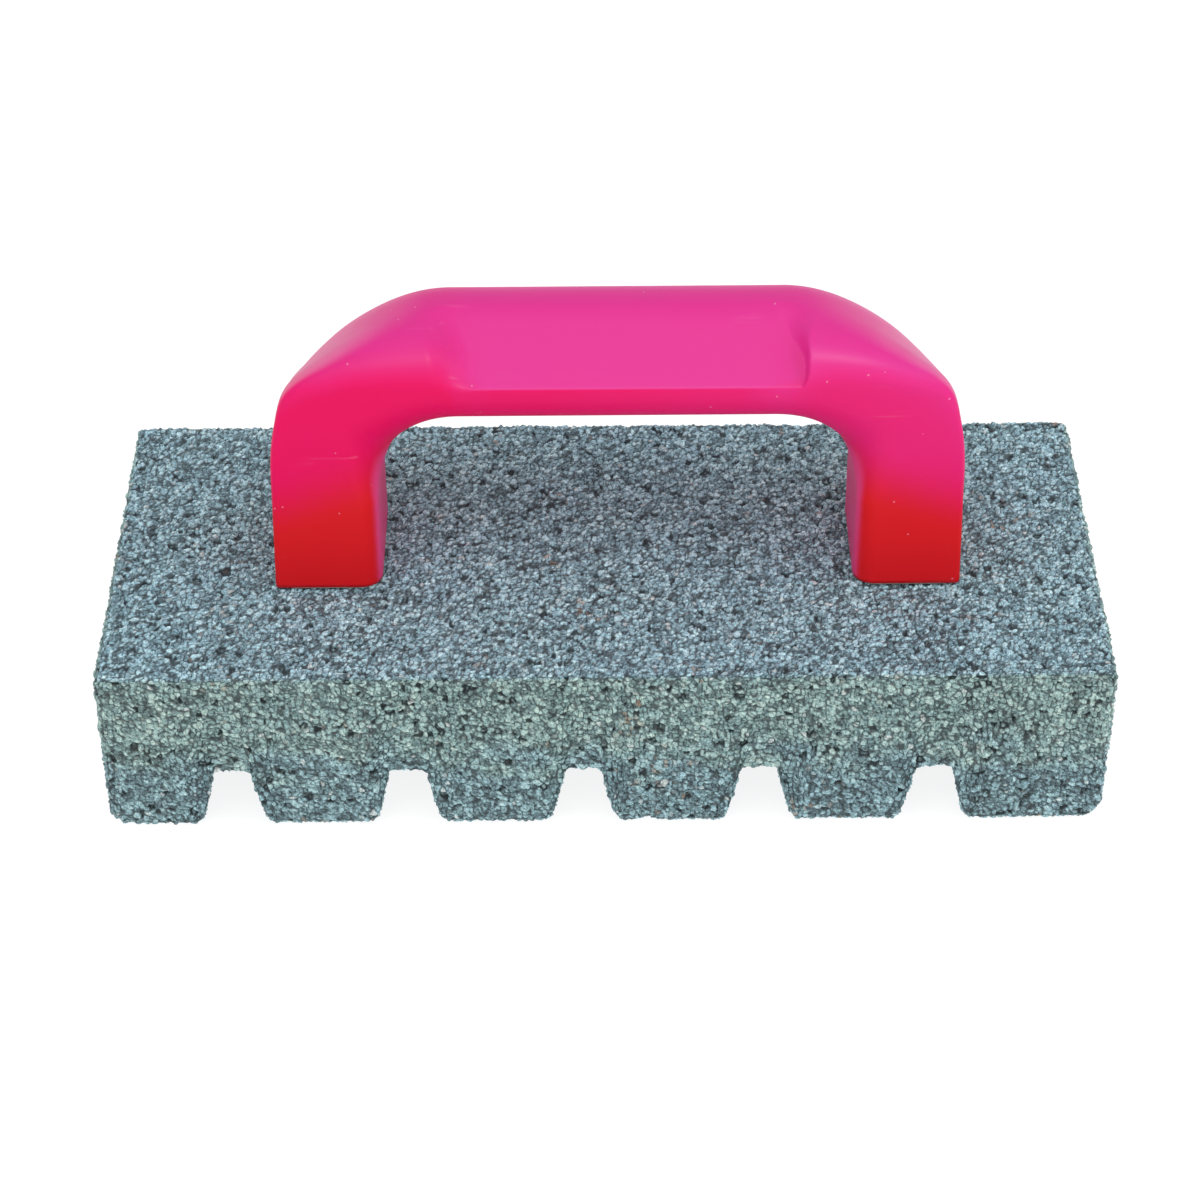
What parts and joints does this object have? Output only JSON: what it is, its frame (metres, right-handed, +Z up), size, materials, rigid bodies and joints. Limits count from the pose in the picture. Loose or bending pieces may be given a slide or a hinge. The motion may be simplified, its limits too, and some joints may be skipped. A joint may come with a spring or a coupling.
{
  "type": "fluted rub brick",
  "caption": "Fluted abrasive rub brick with a moulded plastic grip handle, for dressing and smoothing concrete by hand.",
  "frame": {"origin": "middle of the plane that the working face rests on", "axes": "+X along the block's length, +Y from the front, where the grip's flat is, to the back, +Z up towards the grip"},
  "size_m": [0.2032, 0.0888, 0.0971],
  "materials": {
    "abrasive_block": "coarse vitrified silicon carbide grit, matte with small glints",
    "handle": "satin-gloss moulded plastic",
    "insert_brass": "turned, hidden",
    "stud_steel": "plain steel, hidden",
    "adhesive": "cured epoxy, hidden"
  },
  "bodies": {
    "root": {"abrasive_block": "abrasive_block", "handle": "handle", "threaded_insert_left": "insert_brass", "threaded_insert_right": "insert_brass", "stud_left": "stud_steel", "stud_right": "stud_steel", "stud_adhesive_left": "adhesive", "stud_adhesive_right": "adhesive", "bedding_pad_left": "adhesive", "bedding_pad_right": "adhesive"}
  },
  "joints": []
}
